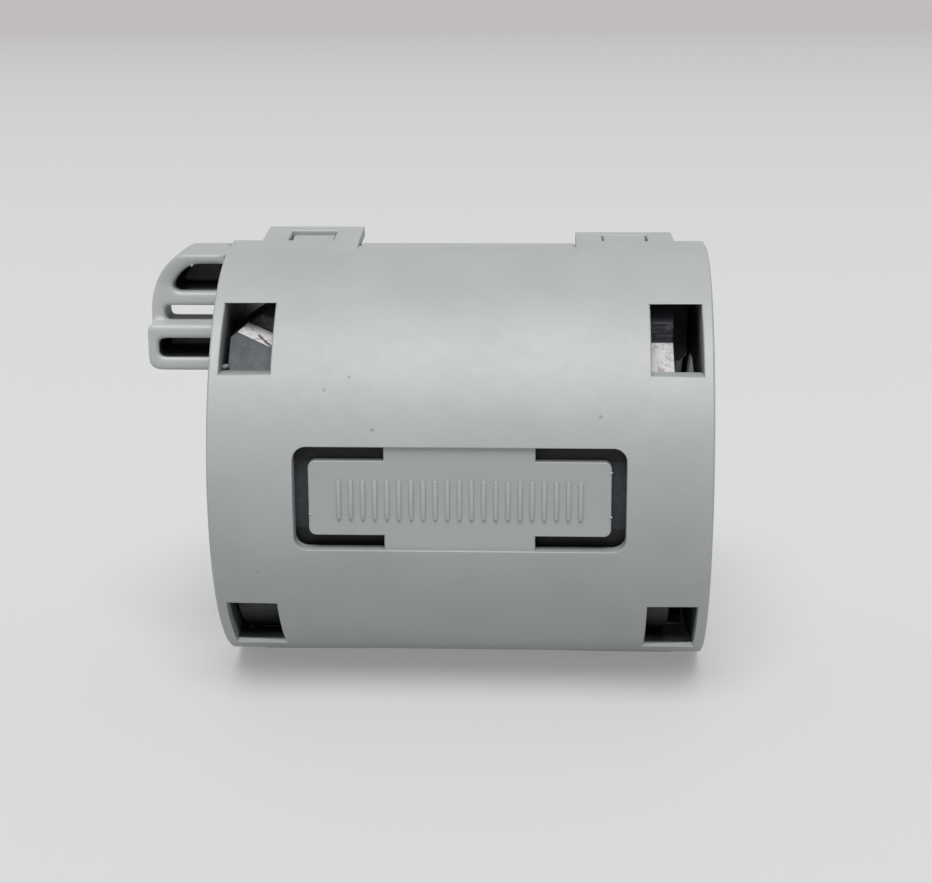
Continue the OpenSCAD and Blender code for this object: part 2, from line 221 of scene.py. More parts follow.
# The crack in the bright break: a point in X and Y, its direction across, its width squared and
# how far it wanders.
CRACK_POINT = (-13.88, -8.5)
CRACK_ACROSS = (0.79, 0.61)
CRACK_EDGE = (0.006, 0.025)
CRACK_WANDER = 0.35

# How much lighter or darker than its base colour a patch of a material is.
CLOUD_TINT = 0.93
GRAIN_TINT = 1.06
# Painted light on the tie holder.
HOLDER_LIGHT_TINT = 1.2
# Painted shade on the sunk spring plate.
PLATE_SHADE_TINT = 0.92
# Painted light on the lower lips of the lower windows.
LIP_LIGHT_TINT = 1.9
SKIN_GRAIN_TINT = 1.7
# Painted highlight: the break on the left is lighter.
LEFT_BREAK_HIGHLIGHT_TINT = 1.25
PIT_GRAIN_TINT = 7.0
CHIPPED_TINT = 1.6
# How much of the colour below it a patch covers.
GRAIN_COVER = 0.35
SPECK_COVER = 0.7
# How much the painted shade covers in the tie slot, on the sunk plate, inside the case and on the
# ferrite.
SLOT_COVER = 0.75
PLATE_SHADE_COVER = 0.8
INSIDE_SHADE_COVER = 0.9
SHADE_COVER = 0.95
CRACK_COVER = 0.85

# The floor shines a little by itself, and turns to its far colour over this reach in millimetres.
FLOOR_GLOW = 0.22
FLOOR_FADE_FROM = 20.0
FLOOR_FADE_REACH = 1100.0
FLOOR_POINTS = 96
# How far a ray points to the rear where the world's light turns from the front's to the rear's.
REAR_FILL_EDGE = (-0.4, 0.6)
SENSOR_WIDTH = 36.0
NEAREST_SEEN = 10 * MM


# ---------------------------------------------------------------- sizes and colours


def length(name, description, default):
    """A length property in metres."""
    return bpy.props.FloatProperty(
        name=name, description=description, default=default, min=0.0,
        subtype="DISTANCE", unit="LENGTH",
    )


def position(name, description, default):
    """A position along an axis, in metres."""
    return bpy.props.FloatProperty(
        name=name, description=description, default=default, unit="LENGTH"
    )


def angle(name, description, degrees):
    """An angle property, given in degrees."""
    return bpy.props.FloatProperty(
        name=name, description=description, default=radians(degrees),
        subtype="ANGLE", unit="ROTATION",
    )


def colour(name, description, default):
    """A colour property in linear red, green and blue."""
    return bpy.props.FloatVectorProperty(
        name=name, description=description, default=default,
        size=3, min=0.0, max=1.0, subtype="COLOR",
    )


def amount(name, description, default, lowest=0.0):
    """A plain number that isn't less than the lowest."""
    return bpy.props.FloatProperty(
        name=name, description=description, default=default, min=lowest
    )


def count(name, description, default):
    """A whole number from 1."""
    return bpy.props.IntProperty(name=name, description=description, default=default, min=1)


class BeadSizes(bpy.types.PropertyGroup):
    """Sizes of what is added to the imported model."""

    case_edge: length("Case edge", "Rounding of the case's edges", 0.12 * MM)
    voxel: length("Voxel", "Size of the voxels that the tie holder is softened with", 0.08 * MM)
    holder_passes: count("Holder softness", "Smoothing passes on the tie holder", 80)
    core_edge: length("Core edge", "Rounding of the ferrite's edges", 0.08 * MM)
    plate_front: position("Plate front", "Y of the spring plate's face", -14.3 * MM)
    rib_middle: position("Rib middle", "Z of the ribs' middle", -0.1 * MM)
    rib_height: length("Rib height", "Height of the ribs on the spring plate", 2.75 * MM)
    rib_width: length("Rib width", "Width of one rib", 0.3 * MM)
    rib_rise: length("Rib rise", "How far the ribs stand proud of the plate", 0.13 * MM)
    rib_pitch: length("Rib pitch", "Distance from one rib to the next", 0.815 * MM)
    rib_count: count("Ribs", "Number of ribs on the spring plate", 21)
    nib: length("Nib", "Radius of a flash nib at its foot", 0.12 * MM)
    film_waist: bpy.props.FloatProperty(
        name="Film waist", description="Thickness at the film's fold, as a share", default=0.6,
        min=0.2, max=1.0, subtype="FACTOR",
    )


class BeadColours(bpy.types.PropertyGroup):
    """Colours of the materials."""

    case: colour("Case", "Moulded grey plastic", (0.335, 0.355, 0.35))
    speck: colour("Specks", "Brown specks in the plastic", (0.2, 0.13, 0.075))
    # Painted shade: the colour of the holder's pockets and slot and of the case's inside.
    grime: colour("Painted shade", "Dark inside of the pockets", (0.006, 0.006, 0.006))
    skin: colour("Ferrite skin", "Ground and fired outside of the ferrite", (0.032, 0.037, 0.043))
    # Painted highlight: broken ferrite is coloured this light where a break faces up.
    fracture: colour("Ferrite fracture", "Broken ferrite", (0.62, 0.6, 0.61))
    # Painted shade on the steep walls of the breaks and on the ferrite behind the plate's slots and
    # in the lower windows.
    pit: colour("Ferrite pit", "Steep walls of the breaks", (0.014, 0.014, 0.017))
    crack: colour("Crack", "Dirty crack in the bright break", (0.06, 0.04, 0.035))
    fracture_dark: colour("Fracture dark", "Dark grain of broken ferrite", (0.05, 0.048, 0.055))
    floor: colour("Floor", "Pale floor", (0.392, 0.392, 0.399))
    floor_far: colour("Floor far", "The floor far behind the part", (0.195, 0.18, 0.177))


class BeadStage(bpy.types.PropertyGroup):
    """Camera, floor and light."""

    camera_place: bpy.props.FloatVectorProperty(
        name="Camera", description="Place of the camera", size=3, subtype="TRANSLATION",
        default=(5.936 * MM, -139.711 * MM, 36.042 * MM),
    )
    camera_turn: angle("Camera turn", "Turn of the camera to its left", 2.5)
    camera_dip: angle("Camera dip", "How far the camera looks down", 14.32)
    camera_roll: angle("Camera roll", "Roll of the camera to its right", 0.26)
    lens: amount("Lens", "Focal length in millimetres on a 36 mm frame", 75.05, 1.0)
    floor_reach: length("Floor reach", "Radius of the floor", 4.0)
    lamp_height: angle("Lamp height", "Height of the lamp above the horizon, in front", 62.0)
    lamp_spread: angle("Lamp spread", "Width of the lamp as the part sees it", 40.0)
    lamp_strength: amount("Lamp strength", "Strength of the lamp", 2.85)
    front_fill: amount("Front fill", "Light from the world in front of the part", 0.27)
    rear_fill: amount("Rear fill", "Light from the world behind the part", 0.6)
    backdrop: amount("Backdrop", "Brightness of the world where it is seen", 0.64)


# ---------------------------------------------------------------- shader maths


class Value:
    """A number that varies over a surface. Sums of values add their Math nodes."""

    def __init__(self, finish, socket):
        self.finish = finish
        self.socket = socket

    def math(self, operation, *others):
        """The result of a Math node on the value and others."""
        made = self.finish.node("Math", {"operation": operation})
        for place, term in enumerate((self,) + others):
            self.finish.feed(made.inputs[place], term)
        return Value(self.finish, made.outputs[0])

    def __add__(self, other):
        return self.math("ADD", other)

    def __sub__(self, other):
        return self.math("SUBTRACT", other)

    def __rsub__(self, other):
        return (self * -1.0).math("ADD", other)

    def __mul__(self, other):
        return self.math("MULTIPLY", other)

    __radd__ = __add__
    __rmul__ = __mul__

    def at_most(self, other):
        """The value, or the other where that is less."""
        return self.math("MINIMUM", other)

    def at_least(self, other):
        """The value, or the other where that is more."""
        return self.math("MAXIMUM", other)

    def rise(self, low, high):
        """0 below low, 1 above high and smooth between them."""
        made = self.finish.node("MapRange", {"interpolation_type": "SMOOTHSTEP"})
        for place, term in enumerate((self, low, high)):
            self.finish.feed(made.inputs[place], term)
        return Value(self.finish, made.outputs[0])

    def within(self, start, stop):
        """1 between two edges, each a pair of values between which it fades, or None."""
        begun = self.rise(*start) if start else 1.0
        return begun * (1.0 - self.rise(*stop)) if stop else begun


class Nodes:
    """A node tree and the one way to add nodes to it."""

    def __init__(self, tree):
        self.tree = tree

    def feed(self, socket, term):
        """Links a value or a socket to a socket, or sets it to a number or a colour."""
        if isinstance(term, Value):
            self.tree.links.new(term.socket, socket)
        elif isinstance(term, bpy.types.NodeSocket):
            self.tree.links.new(term, socket)
        else:
            socket.default_value = (*term, 1.0) if socket.type == "RGBA" else term

    def node(self, kind, settings=None, inputs=None):
        """Adds a node, sets its settings and then feeds its sockets."""
        made = self.tree.nodes.new("ShaderNode" + kind)
        for setting, choice in (settings or {}).items():
            setattr(made, setting, choice)
        for socket, term in (inputs or {}).items():
            self.feed(made.inputs[socket], term)
        return made


class Sky(Nodes):
    """The world's shader."""

    def __init__(self, world):
        super().__init__(world.node_tree)
        self.background = next(n for n in self.tree.nodes if n.type == "BACKGROUND")
        self.background.inputs["Color"].default_value = (1.0, 1.0, 1.0, 1.0)

    def direction(self, axis):
        """How far a ray points along an axis, from -1 to 1."""
        place = self.node("TexCoord").outputs["Generated"]
        parts = self.node("SeparateXYZ", inputs={0: place})
        return Value(self, parts.outputs[axis])

    def seen(self):
        """1 for rays that show the world itself, straight or in a reflection."""
        path = self.node("LightPath")
        straight, glossy, through = (
            Value(self, path.outputs[f"Is {kind} Ray"])
            for kind in ("Camera", "Glossy", "Transmission")
        )
        return (straight + glossy + through).at_most(1.0)


class Finish(Nodes):
    """A material and its Principled shader."""

    def __init__(self, name, **constants):
        self.material = bpy.data.materials.new(name)
        self.material.use_nodes = True
        super().__init__(self.material.node_tree)
        self.shader = next(n for n in self.tree.nodes if n.type == "BSDF_PRINCIPLED")
        for socket, constant in constants.items():
            self.shader.inputs[socket.replace("_", " ")].default_value = constant
        self.place = self.node("TexCoord").outputs["Object"]

    def output(self, name, term):
        """Feeds a socket of the shader."""
        self.feed(self.shader.inputs[name], term)

    @cached_property
    def place_in_mm(self):
        """The object coordinates in millimetres."""
        inputs = {0: self.place, "Scale": 1.0 / MM}
        return self.node("VectorMath", {"operation": "SCALE"}, inputs).outputs[0]

    @cached_property
    def measures(self):
        """What the edges of painted regions are given in."""
        parts = self.node("SeparateXYZ", inputs={0: self.place_in_mm})
        x, y, z = (Value(self, socket) for socket in parts.outputs)
        across = y * y + z * z
        return {"x": x, "y": y, "z": z, "xx": x * x, "yy": y * y, "zz": z * z, "rr": across}

    def region(self, edges):
        """1 inside a painted region, fading to 0 at its edges."""
        return reduce(mul, (self.measures[name].within(*pair) for name, pair in edges.items()))

    def away(self, point):
        """Distance in millimetres from a point given in millimetres."""
        inputs = {0: self.place_in_mm, 1: point}
        made = self.node("VectorMath", {"operation": "DISTANCE"}, inputs)
        return Value(self, made.outputs["Value"])

    def mapped(self, per_mm, stretch=(1.0, 1.0, 1.0)):
        """The object coordinates, scaled so that a pattern repeats per_mm times to a millimetre."""
        scale = [per_mm * s / MM for s in stretch]
        return self.node("Mapping", inputs={"Vector": self.place, "Scale": scale}).outputs[0]

    def noise(self, per_mm, detail=3.0, rough=0.5, warp=0.0, stretch=(1.0, 1.0, 1.0)):
        """Noise from 0 to 1, with about that many spots to a millimetre."""
        made = self.node("TexNoise", inputs={
            "Vector": self.mapped(per_mm, stretch), "Scale": 1.0, "Detail": detail,
            "Roughness": rough, "Distortion": warp,
        })
        return Value(self, made.outputs[0])

    def cells(self, per_mm):
        """Distance to the nearest point of a random set, and that point's own number."""
        made = self.node("TexVoronoi", inputs={"Vector": self.mapped(per_mm), "Scale": 1.0})
        parts = self.node("SeparateColor", inputs={0: made.outputs["Color"]})
        return Value(self, made.outputs["Distance"]), Value(self, parts.outputs[0])

    def mix(self, low, high, share):
        """A colour from low to high by share."""
        made = self.node("Mix", {"data_type": "RGBA"})
        for place, term in ((0, share), (6, low), (7, high)):
            self.feed(made.inputs[place], term)
        return made.outputs[2]

    def bump(self, height, distance, below=None):
        """A normal from a height from 0 to 1 that stands for a distance in metres."""
        made = self.node("Bump", inputs={"Height": height, "Distance": distance, "Strength": 1.0})
        if below:
            self.feed(made.inputs["Normal"], below)
        return made.outputs[0]


# ---------------------------------------------------------------- materials


def tint(base, factor):
    """A colour made lighter or darker by a factor."""
    return [channel * factor for channel in base]


def holder_grime(finish):
    """Painted shade: 1 inside the two blind pockets of the tie holder and less on the floor of its
    slot.
    """
    out = (finish.measures["x"] - POCKET_MIDDLE[0]).at_most(0.0) * (1.0 / POCKET_REACH[0])
    high = (finish.measures["z"] - POCKET_MIDDLE[1]) * (1.0 / POCKET_REACH[1])
    corner = 1.0 - (out * out + high * high).rise(*POCKET_RIM)
    pockets = corner * finish.region(UPPER_POCKET) + finish.region(LOWER_POCKET)
    return (pockets + SLOT_COVER * finish.region(TIE_SLOT)).at_most(1.0)


def case_dirt(finish):
    """Painted shade: 1 on the inside of the case, where little light gets to."""
    depth = finish.measures["rr"] - INSIDE_SHADE_FURTHER * finish.region(UPPER_LEFT)
    inside = (1.0 - depth.rise(*INSIDE_SHADE_EDGE)).at_least(finish.region(LOWER_INSIDE))
    return inside * finish.region(CASE_LENGTH)


def specks(finish):
    """1 on the scattered specks and on those that have a place of their own."""
    distance, number = finish.cells(0.3)
    speck = (1.0 - distance.rise(0.02, 0.05)) * number.rise(0.78, 0.8)
    for point in SPECKS:
        speck = speck + (1.0 - finish.away(point).rise(*SPECK_EDGE))
    return speck.at_most(1.0)


def grey_plastic(colours):
    """Grey plastic: spark-eroded skin, brown specks, painted shade in hollows, painted light on
    holder and lips.
    """
    finish = Finish("grey_plastic", Roughness=0.5, IOR=1.8)
    case = colours.case
    cloud = finish.noise(0.16, detail=4.0).rise(0.35, 0.7)
    grain = finish.noise(5.0, rough=0.6).rise(0.5, 0.75)
    body = finish.mix(case, tint(case, CLOUD_TINT), cloud)
    # Painted light makes the tie holder and the window lips lighter. Painted shade darkens the
    # holder's pockets and slot, the sunk plate and the case's inside.
    for patch, share in (
        (tint(case, GRAIN_TINT), grain * GRAIN_COVER),
        (tint(case, HOLDER_LIGHT_TINT), finish.region(HOLDER_LIT)),
        (colours.speck, specks(finish) * SPECK_COVER),
        (colours.grime, holder_grime(finish)),
        (tint(case, PLATE_SHADE_TINT), finish.region(SUNK_PLATE_SHADE) * PLATE_SHADE_COVER),
        (colours.grime, case_dirt(finish) * INSIDE_SHADE_COVER),
        (tint(case, LIP_LIGHT_TINT), finish.region(WINDOW_LIP_LIGHT)),
    ):
        body = finish.mix(body, patch, share)
    finish.output("Base Color", body)
    finish.output("Roughness", 0.49 + 0.1 * finish.noise(0.9, detail=4.0))
    fine = finish.bump(finish.noise(9.0, detail=2.0, rough=0.6), 0.012 * MM)
    finish.output("Normal", finish.bump(finish.noise(0.35, detail=2.0), 0.05 * MM, fine))
    return finish.material


def ferrite_skin(colours):
    """Fired ferrite: dark blue-grey and matt, with a fine grain, and painted shade behind the
    plate's slots and in the lower windows.
    """
    finish = Finish("ferrite_skin", Roughness=0.5, Metallic=0.15)
    grain = finish.noise(6.0, detail=4.0, rough=0.65)
    tone = finish.mix(colours.skin, tint(colours.skin, SKIN_GRAIN_TINT), grain.rise(0.4, 0.75))
    # Painted shade where the ferrite lies behind the plate's slots and in the lower windows.
    recesses = (finish.region(CORE_BY_PLATE) + finish.region(CORE_LOWER)).at_most(1.0)
    shaded = recesses * finish.region(CORE_OUTSIDE)
    finish.output("Base Color", finish.mix(tone, colours.pit, shaded * SHADE_COVER))
    finish.output("Roughness", 0.4 + 0.25 * finish.noise(1.5))
    finish.output("Normal", finish.bump(grain, 0.02 * MM))
    return finish.material


def ferrite_break_lit(colours):
    """Broken ferrite lit from above: glittering light grey grain, a painted highlight, with darker
    pits and a dirty crack.
    """
    finish = Finish("ferrite_break_lit", Roughness=0.45, Metallic=0.1)
    coarse = finish.noise(1.6, detail=5.0, rough=0.65, warp=0.4).rise(0.5, 0.68)
    grain = finish.noise(9.0, detail=4.0, rough=0.7).rise(0.5, 0.7)
    shade = (coarse * 0.5 + grain * 0.25).at_most(1.0)
    # Painted highlight: the break on the left is lighter than the one on the right.
    bright = tint(colours.fracture, LEFT_BREAK_HIGHLIGHT_TINT)
    tone = finish.mix(bright, colours.fracture, finish.region(RIGHT_HALF))
    tone = finish.mix(tone, colours.fracture_dark, shade)
    off = (
        (finish.measures["x"] - CRACK_POINT[0]) * CRACK_ACROSS[0]
        + (finish.measures["y"] - CRACK_POINT[1]) * CRACK_ACROSS[1]
        + (finish.noise(3.0) - 0.5) * CRACK_WANDER
    )
    crack = (1.0 - (off * off).rise(*CRACK_EDGE)) * finish.region(CRACK_REACH)
    finish.output("Base Color", finish.mix(tone, colours.crack, crack * CRACK_COVER))
    finish.output("Roughness", 0.3 + 0.35 * finish.noise(4.0))
    finish.output("Normal", finish.bump(finish.noise(7.0, detail=5.0, rough=0.7), 0.06 * MM))
    return finish.material


def ferrite_break_shaded(colours):
    """The steep walls of the breaks, the shaded copy of broken ferrite: painted shade in a dark
    grain with fine level lines.
    """
    finish = Finish("ferrite_break_shaded", Roughness=0.5, Metallic=0.2)
    lines = finish.noise(4.5, detail=2.0, stretch=(0.08, 0.3, 1.0))
    grain = finish.noise(4.0, detail=4.0, rough=0.75)
    light = (lines.rise(0.52, 0.62) * 0.4 + grain.rise(0.52, 0.62) * 0.6).at_most(1.0)
    finish.output("Base Color", finish.mix(colours.pit, tint(colours.pit, PIT_GRAIN_TINT), light))
    finish.output("Normal", finish.bump(lines * 0.5 + grain * 0.5, 0.05 * MM))
    return finish.material


def ferrite_edge(colours):
    """The rounded edges of the ferrite: skin with small bright chips."""
    finish = Finish("ferrite_edge", Roughness=0.45, Metallic=0.15)
    chips = finish.noise(1.4, detail=4.0, rough=0.6).rise(0.36, 0.52)
    worn = tint(colours.skin, CHIPPED_TINT)
    finish.output("Base Color", finish.mix(worn, colours.fracture, chips))
    finish.output("Normal", finish.bump(finish.noise(8.0), 0.02 * MM))
    return finish.material


def pale_floor(colours):
    """The plain floor, which shines a little by itself and is darker far behind the part."""
    finish = Finish(
        "pale_floor", Roughness=0.7,
        Emission_Color=(1.0, 1.0, 1.0, 1.0), Emission_Strength=FLOOR_GLOW,
    )
    behind = (finish.measures["y"] - FLOOR_FADE_FROM) * (1.0 / FLOOR_FADE_REACH)
    far = behind.at_least(0.0).at_most(1.0)
    finish.output("Base Color", finish.mix(colours.floor, colours.floor_far, far))
    return finish.material


# ---------------------------------------------------------------- mesh tools


def take_hold(piece):
    """Makes a piece the only selected object and the active one."""
    bpy.ops.object.select_all(action="DESELECT")
    piece.select_set(True)
    bpy.context.view_layer.objects.active = piece


def edit(piece, *steps):
    """Runs steps on a piece in edit mode."""
    take_hold(piece)
    bpy.ops.object.mode_set(mode="EDIT")
    bpy.ops.mesh.select_all(action="SELECT")
    for step in steps:
        step()
    bpy.ops.object.mode_set(mode="OBJECT")


def copy_of(node, name):
    """A copy of a CAD node's mesh with its loose triangles merged into clean faces."""
    piece = bpy.data.objects.new(name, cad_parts[node].data.copy())
    bpy.context.scene.collection.objects.link(piece)
    piece.data.materials.clear()
    edit(
        piece,
        lambda: bpy.ops.mesh.remove_doubles(threshold=MERGE),
        lambda: bpy.ops.mesh.dissolve_limited(angle_limit=FLAT),
    )
    return piece


def apply_modifier(piece, kind, **settings):
    """Adds a modifier, sets it and applies it."""
    take_hold(piece)
    modifier = piece.modifiers.new(kind.title(), kind)
    for setting, choice in settings.items():
        setattr(modifier, setting, choice)
    bpy.ops.object.modifier_apply(modifier=modifier.name)


def room_for(edge, sharp):
    """The widest bevel that the faces beside an edge leave room for."""
    room = edge.calc_length()
    for loop in edge.link_loops:
        for near in (loop.link_loop_prev, loop.link_loop_next):
            corner = loop if near == loop.link_loop_prev else near
            turn = corner.calc_angle()
            if not corner.is_convex:
                continue
            if near.edge in sharp:
                shortest = min(near.edge.calc_length(), edge.calc_length())
                room = min(room, SHARE * shortest * tan(min(turn, FLAT_TURN) / 2))
            elif turn < FLAT_TURN:
                far_end = near.edge.other_vert(corner.vert)
                shared = SHARE if any(e in sharp for e in far_end.link_edges) else 2 * SHARE
                room = min(room, shared * near.edge.calc_length() * sin(turn))
    return room


def chains_of(sharp):
    """Groups sharp edges that run on into each other, which get one width."""
    chains = []
    left = set(sharp)
    while left:
        chain = []
        reach = [left.pop()]
        while reach:
            edge = reach.pop()
            chain.append(edge)
            for vert in edge.verts:
                behind = vert.co - edge.other_vert(vert).co
                for other in left.intersection(vert.link_edges):
                    ahead = other.other_vert(vert).co - vert.co
                    if ahead.angle(behind) < CHAIN_TURN:
                        left.discard(other)
                        reach.append(other)
        chains.append(chain)
    return chains


def round_edges(piece, widest, **settings):
    """Bevels the sharp outer edges of a piece, each chain as wide as its place allows."""
    work = bmesh.new()
    work.from_mesh(piece.data)
    surface = BVHTree.FromBMesh(work)
    weights = work.edges.layers.float.new("bevel_weight_edge")
    sharp = {
        edge for edge in work.edges
        if len(edge.link_faces) == 2 and edge.is_convex and edge.calc_face_angle() > SHARP
    }
    for chain in chains_of(sharp):
        width = min(widest, *(room_for(edge, sharp) for edge in chain))
        for edge in chain:
            edge[weights] = width / widest if width > NARROWEST else 0.0
    work.to_mesh(piece.data)
    work.free()
    apply_modifier(
        piece, "BEVEL", width=widest, segments=BEVEL_STEPS, limit_method="WEIGHT",
        use_clamp_overlap=False, **settings,
    )
    for vert in piece.data.vertices:
        nearest, normal, _, distance = surface.find_nearest(vert.co)
        if distance > widest or (vert.co - nearest).dot(normal) > PROUD:
            vert.co = nearest


def blunt_lips(piece, side):
    """Cuts the lower lips of the two lower windows square, where the round wall runs out thin."""
    for end in (-1, 1):
        bpy.ops.object.select_all(action="DESELECT")
        middle = LIP_MIDDLE * Vector((end, side, 1))
        bpy.ops.mesh.primitive_cube_add(size=1, location=middle, scale=LIP_SIZE)
        cutter = bpy.context.object
        bpy.ops.object.transform_apply(location=True, scale=True)
        apply_modifier(piece, "BOOLEAN", operation="DIFFERENCE", solver="EXACT", object=cutter)
        bpy.data.objects.remove(cutter)


def radial(point):
    """Direction away from the cable's axis."""
    return Vector((0.0, point.y, point.z)).normalized()


def is_round(face):
    """Whether a face belongs to a wall that is round about the cable's axis."""
    outward = radial(face.calc_center_median())
    if abs(face.normal.dot(outward)) < ROUND_FIT:
        return False
    radii = [hypot(vert.co.y, vert.co.z) for vert in face.verts]
    narrow = all(radial(vert.co).dot(outward) > ROUND_SPAN for vert in face.verts)
    return narrow and max(radii) - min(radii) < ROUND_SLACK


def smooth(piece):
    """Gives a piece normals that are exact on round walls and level on flat faces."""
    work = bmesh.new()
    work.from_mesh(piece.data)
    rounds = {face for face in work.faces if is_round(face)}

    def level(face, vert):
        """The face's own normal at a point, or the cylinder's where the face is round."""
        if face not in rounds:
            return face.normal
        outward = radial(vert.co)
        return outward if face.normal.dot(outward) > 0 else -outward

    normals = []
    for face in work.faces:
        for loop in face.loops:
            total = Vector()
            for near in loop.vert.link_faces:
                if near.normal.dot(face.normal) > SMOOTH_FIT:
                    total += level(near, loop.vert) * near.calc_area()
            exact = face in rounds or not total.length
            normals.append(level(face, loop.vert) if exact else total.normalized())
    work.free()
    piece.data.polygons.foreach_set("use_smooth", [True] * len(piece.data.polygons))
    piece.data.normals_split_custom_set(normals)


def cut_at(piece, x, keep_low):
    """Cuts a piece across at x, closes the cut and keeps one side of it."""
    edit(piece, lambda: bpy.ops.mesh.bisect(
        plane_co=(x, 0, 0), plane_no=(1, 0, 0), use_fill=True,
        clear_outer=keep_low, clear_inner=not keep_low,
    ))


def choose(piece, test):
    """An edit step that selects the points of a piece that pass a test on their place."""
    def step():
        """Selects the points."""
        bpy.ops.mesh.select_mode(type="VERT")
        bpy.ops.mesh.select_all(action="DESELECT")
        work = bmesh.from_edit_mesh(piece.data)
        for vert in work.verts:
            vert.select_set(test(vert.co))
        work.select_flush(True)
        bmesh.update_edit_mesh(piece.data)

    return step


def push_out(piece, x, distance):
    """Moves the closed cut at x along X and leaves walls behind it."""
    edit(
        piece,
        choose(piece, lambda place: abs(place.x - x) < ON_CUT),
        lambda: bpy.ops.mesh.extrude_region_move(
            TRANSFORM_OT_translate={"value": (distance, 0, 0)}
        ),
    )


def resize(piece, factor):
    """Scales a piece's mesh about the origin."""
    edit(
        piece,
        lambda: bpy.ops.transform.resize(value=[factor] * 3, center_override=(0, 0, 0)),
    )


def soften(piece, voxel, passes, root_x):
    """Rebuilds a piece from small voxels and wears its edges round, up to its root."""
    resize(piece, ENLARGED)
    apply_modifier(piece, "REMESH", mode="VOXEL", voxel_size=voxel * ENLARGED)
    resize(piece, 1 / ENLARGED)
    free = piece.vertex_groups.new(name="free")
    for vert in piece.data.vertices:
        away = (root_x - vert.co.x) / ROOT_FADE
        free.add([vert.index], max(0.0, min(1.0, away)), "REPLACE")
    apply_modifier(
        piece, "SMOOTH", factor=SMOOTHING, iterations=passes, vertex_group=free.name
    )


def moved_copy(first, move):
    """A copy of a piece, with a mesh of its own that a matrix moves."""
    piece = first.copy()
    piece.data = first.data.copy()
    piece.data.transform(move)
    bpy.context.scene.collection.objects.link(piece)
    return piece


def join(pieces):
    """Joins pieces into the first one."""
    take_hold(pieces[0])
    for piece in pieces[1:]:
        piece.select_set(True)
    bpy.ops.object.join()
    return pieces[0]


def material(make):
    """The material that a function makes, made once."""
    return bpy.data.materials.get(make.__name__) or make(bpy.context.scene.bead_colours)


def finish_piece(piece, slot, body, *makers):
    """Gives a piece its materials and the body that it moves with."""
    for make in makers:
        piece.data.materials.append(material(make))
    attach(piece, body)


# ---------------------------------------------------------------- operators


class BEAD_OT_case_halves(bpy.types.Operator):
    """Round the edges of the two moulded halves of the case"""

    bl_idname = "bead.case_halves"
    bl_label = "Case halves"

    def execute(self, context):
        sizes = context.scene.bead_sizes
        root_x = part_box("back_shell")[0].x - HOLDER_CUT
        holder = copy_of("front_shell", "tie_holder")
        cut_at(holder, root_x, True)
        push_out(holder, root_x, HOLDER_TAIL)
        soften(holder, sizes.voxel, sizes.holder_passes, root_x)
        halves = {}
        for node, side in (("front_shell", -1), ("back_shell", 1)):
            piece = halves[node] = copy_of(node, node + "_moulding")
            if node == "front_shell":
                cut_at(piece, root_x, False)
            blunt_lips(piece, side)
            round_edges(piece, sizes.case_edge)
            smooth(piece)
        holder.data.polygons.foreach_set("use_smooth", [True] * len(holder.data.polygons))
        finish_piece(holder, "case_plastic", "front_half", grey_plastic)
        for node, body in (("front_shell", "front_half"), ("back_shell", "back_half")):
            finish_piece(halves[node], "case_plastic", body, grey_plastic)
            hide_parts(node)
        return {"FINISHED"}


class BEAD_OT_plate_ribs(bpy.types.Operator):
    """Raise the row of ribs on the spring plate"""

    bl_idname = "bead.plate_ribs"
    bl_label = "Plate ribs"

    def execute(self, context):
        sizes = context.scene.bead_sizes
        first_x = -sizes.rib_pitch * (sizes.rib_count - 1) / 2
        first = self.rib(sizes, Vector((first_x, sizes.plate_front, sizes.rib_middle)))
        others = [
            moved_copy(first, Matrix.Translation((number * sizes.rib_pitch, 0, 0)))
            for number in range(1, sizes.rib_count)
        ]
        finish_piece(join([first] + others), "case_plastic", "front_half", grey_plastic)
        return {"FINISHED"}

    def rib(self, sizes, foot):
        """One upright rib with round ends and a softened front."""
        bpy.ops.object.select_all(action="DESELECT")
        bpy.ops.mesh.primitive_circle_add(
            vertices=RIB_POINTS, radius=sizes.rib_width / 2, fill_type="NGON",
            rotation=(pi / 2, 0, 0), location=foot + Vector((0, RIB_ROOT, 0)),
        )
        rib = bpy.context.object
        rib.name = "plate_ribs"
        bpy.ops.object.transform_apply(location=True, rotation=True)
        reach = (sizes.rib_height - sizes.rib_width) / 2
        edit(
            rib,
            choose(rib, lambda place: place.z > foot.z + RIB_MIDST),
            lambda: bpy.ops.transform.translate(value=(0, 0, reach)),
            choose(rib, lambda place: place.z < foot.z - RIB_MIDST),
            lambda: bpy.ops.transform.translate(value=(0, 0, -reach)),
            lambda: bpy.ops.mesh.select_all(action="SELECT"),
            lambda: bpy.ops.mesh.extrude_region_move(
                TRANSFORM_OT_translate={"value": (0, -sizes.rib_rise - RIB_ROOT, 0)}
            ),
            lambda: bpy.ops.mesh.select_all(action="SELECT"),
            lambda: bpy.ops.mesh.normals_make_consistent(inside=False),
        )
        apply_modifier(rib, "BEVEL", width=sizes.rib_rise / 3, segments=2, limit_method="ANGLE")
        edit(rib, lambda: bpy.ops.mesh.faces_shade_smooth())
        return rib


